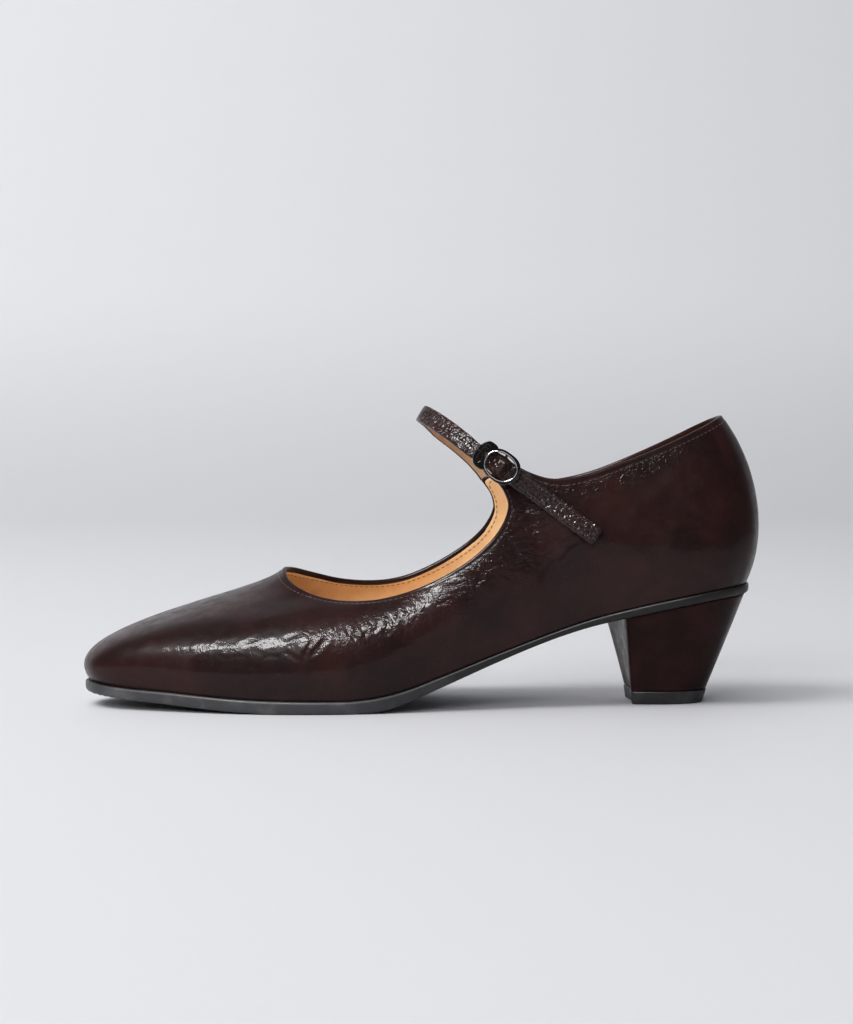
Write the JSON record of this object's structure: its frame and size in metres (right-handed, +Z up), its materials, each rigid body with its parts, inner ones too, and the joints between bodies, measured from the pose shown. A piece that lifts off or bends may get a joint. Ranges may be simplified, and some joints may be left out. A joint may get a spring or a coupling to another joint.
{
  "type": "mary jane shoe",
  "caption": "Left mary jane shoe with a low block heel, hollow leather upper and a narrow buckled strap over the instep.",
  "frame": {"origin": "middle of the shoe's box, on the floor it stands on", "axes": "+X towards the heel, toe towards -X; +Y towards the inner side, buckle on -Y; +Z up"},
  "size_m": [0.246, 0.0792, 0.1083],
  "materials": {
    "upper": "glossy, creased",
    "strap": "glossy, creased",
    "heel": "glossy",
    "insole": "matt tan",
    "outsole": "satin black",
    "top_lift": "satin black",
    "buckle_frame": "black nickel, polished edge",
    "buckle_tab": "satin"
  },
  "bodies": {
    "root": {"outsole": "outsole", "heel": "heel", "top_lift": "top_lift", "insole": "insole", "upper": "upper", "strap": "strap", "buckle_frame": "buckle_frame", "buckle_tab": "buckle_tab"}
  },
  "joints": []
}
